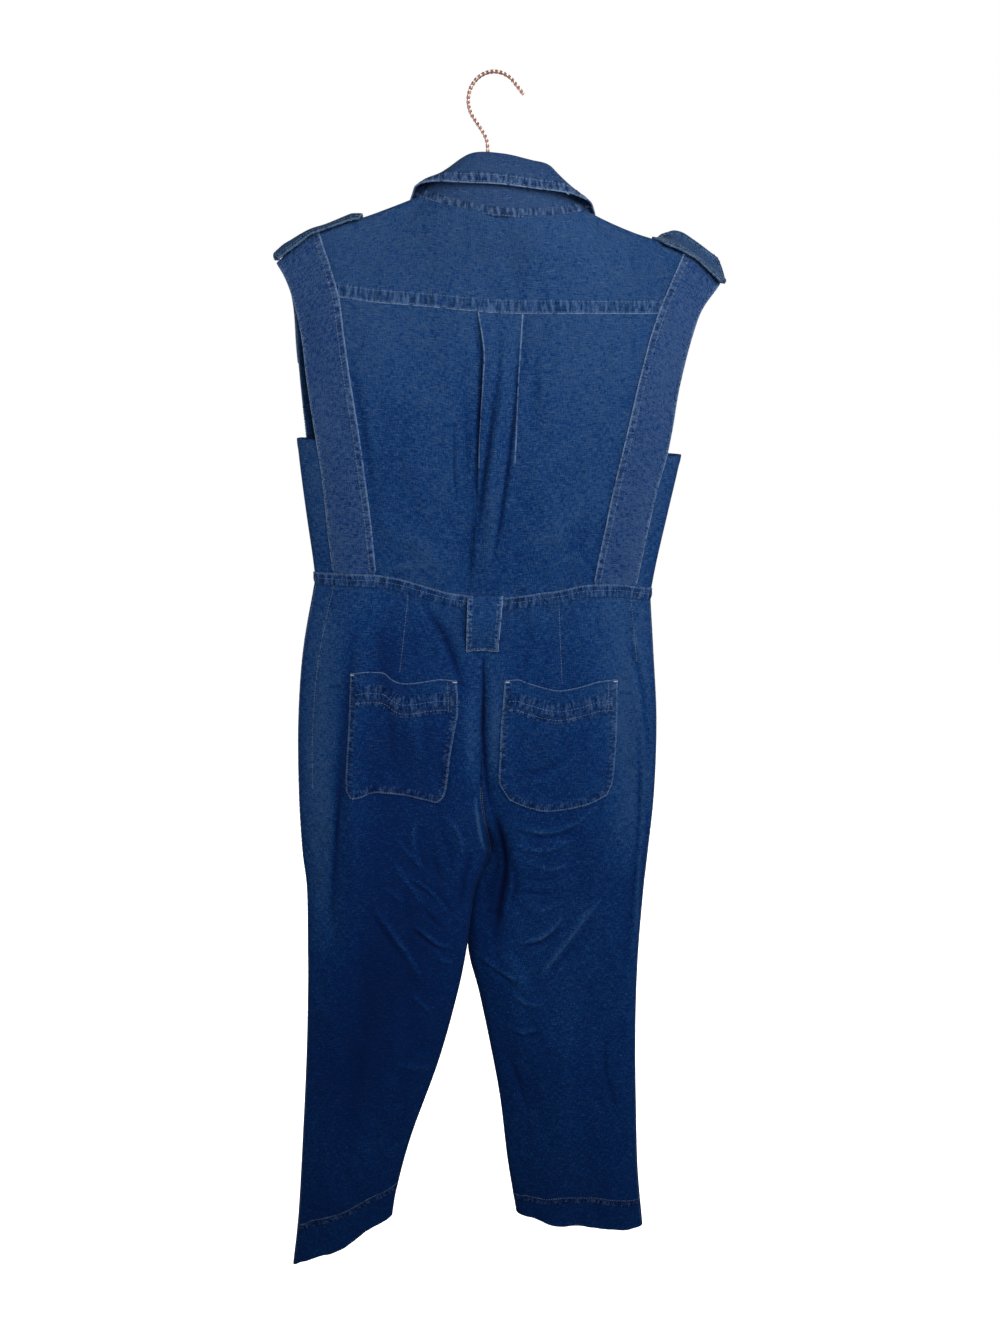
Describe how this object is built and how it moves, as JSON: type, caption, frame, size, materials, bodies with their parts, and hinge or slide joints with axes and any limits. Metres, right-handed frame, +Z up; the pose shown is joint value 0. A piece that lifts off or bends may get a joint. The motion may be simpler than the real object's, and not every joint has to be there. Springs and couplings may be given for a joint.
{
  "type": "sleeveless jumpsuit on a hanger",
  "caption": "Sleeveless denim jumpsuit, shirt collar, shoulder tabs, wide armhole bands, pleated back, patch pockets and tapered legs, hung on a slim hanger with a wire hook.",
  "frame": {"origin": "underside of the top of the hook's crook, where a rail carries the hanger", "axes": "+Z up, the garment's back faces -Y, the wearer's right side is on +X"},
  "size_m": [0.5356, 0.0789, 1.5425],
  "materials": {
    "denim": "woven indigo linen-cotton denim, matt, slubbed",
    "denim_trim": "the same denim cut on another grain, matt, worn pale at its edges",
    "hook_wire": "polished rose copper plating on a twisted wire",
    "hanger_arms": "flocked matt plastic",
    "button": "satin navy plastic"
  },
  "bodies": {
    "root": {"armhole_band_left": "denim_trim", "armhole_band_right": "denim_trim", "back_bodice": "denim", "back_yoke": "denim", "belt_loop": "denim_trim", "button_1": "button", "button_2": "button", "button_3": "button", "button_4": "button", "button_5": "button", "button_6": "button", "button_7": "button", "collar_fall": "denim", "collar_stand": "denim", "front_left": "denim", "front_placket": "denim_trim", "front_right": "denim", "hanger_arms": "hanger_arms", "hanger_hook": "hook_wire", "leg_back_left": "denim", "leg_back_right": "denim", "leg_front_left": "denim", "leg_front_right": "denim", "pocket_left": "denim", "pocket_right": "denim", "shoulder_tab_left": "denim_trim", "shoulder_tab_right": "denim_trim", "waistband_back": "denim_trim", "waistband_front_left": "denim_trim", "waistband_front_right": "denim_trim"}
  },
  "joints": []
}
